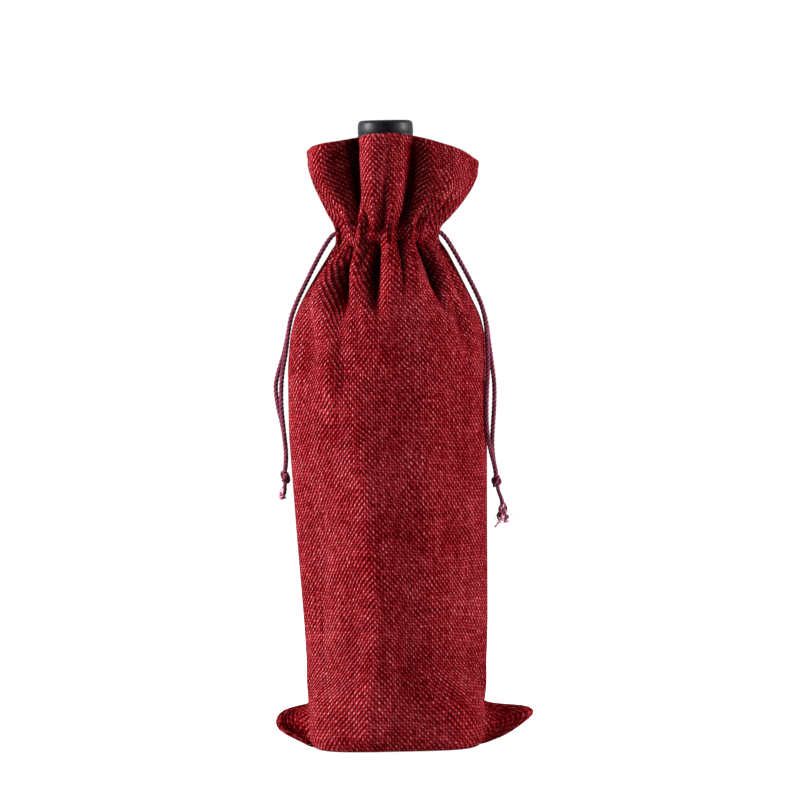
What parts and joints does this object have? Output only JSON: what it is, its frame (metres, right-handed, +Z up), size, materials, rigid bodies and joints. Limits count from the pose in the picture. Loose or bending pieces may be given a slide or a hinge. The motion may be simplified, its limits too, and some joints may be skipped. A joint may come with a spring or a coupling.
{
  "type": "wine gift bag",
  "caption": "Drawstring gift bag of coarse woven cloth, gathered at the neck around an upright wine bottle, with knotted cords hanging at both sides.",
  "frame": {"origin": "under the middle of the base, at the level of the surface it stands on", "axes": "+Z up, the front of the bag faces -Y, the side seams and drawstrings are at -X and +X"},
  "size_m": [0.13, 0.0804, 0.3121],
  "materials": {
    "cloth": "coarse open plain weave, matt, wine red with lighter and darker threads",
    "thread": "matt spun sewing thread",
    "cord": "twisted matt cord with frayed ends",
    "glass": "dark green bottle glass",
    "wine": "dark red liquid",
    "cork": "natural cork",
    "capsule": "satin black foil"
  },
  "bodies": {
    "bag": {"front_panel": "cloth", "back_panel": "cloth", "left_side_seam": "thread", "right_side_seam": "thread", "bottom_seam": "thread", "casing_stitch_upper": "thread", "casing_stitch_lower": "thread", "left_casing_cord": "cord", "right_casing_cord": "cord"},
    "bottle": {"bottle_glass": "glass", "wine": "wine", "cork": "cork", "capsule": "capsule"},
    "left_drawstring": {"left_front_strand": "cord", "left_back_strand": "cord", "left_knot": "cord", "left_front_tail": "cord", "left_back_tail": "cord"},
    "right_drawstring": {"right_front_strand": "cord", "right_back_strand": "cord", "right_knot": "cord", "right_front_tail": "cord", "right_back_tail": "cord"}
  },
  "joints": [
    {"name": "bottle_lift", "type": "slide", "parent": "bag", "child": "bottle", "axis": [0, 0, 1], "range_m": [0, 0.315], "deforming": ["front_panel", "back_panel", "left_side_seam", "right_side_seam", "casing_stitch_upper", "casing_stitch_lower", "left_casing_cord", "right_casing_cord"]},
    {"name": "left_drawstring_swing", "type": "hinge", "parent": "bag", "child": "left_drawstring", "pos_m": [-0.025, 0, 0.256], "axis": [0, 1, 0], "range_deg": [0, 75], "deforming": ["left_front_strand", "left_back_strand"]},
    {"name": "right_drawstring_swing", "type": "hinge", "parent": "bag", "child": "right_drawstring", "pos_m": [0.025, 0, 0.256], "axis": [0, -1, 0], "range_deg": [0, 75], "deforming": ["right_front_strand", "right_back_strand"]}
  ]
}
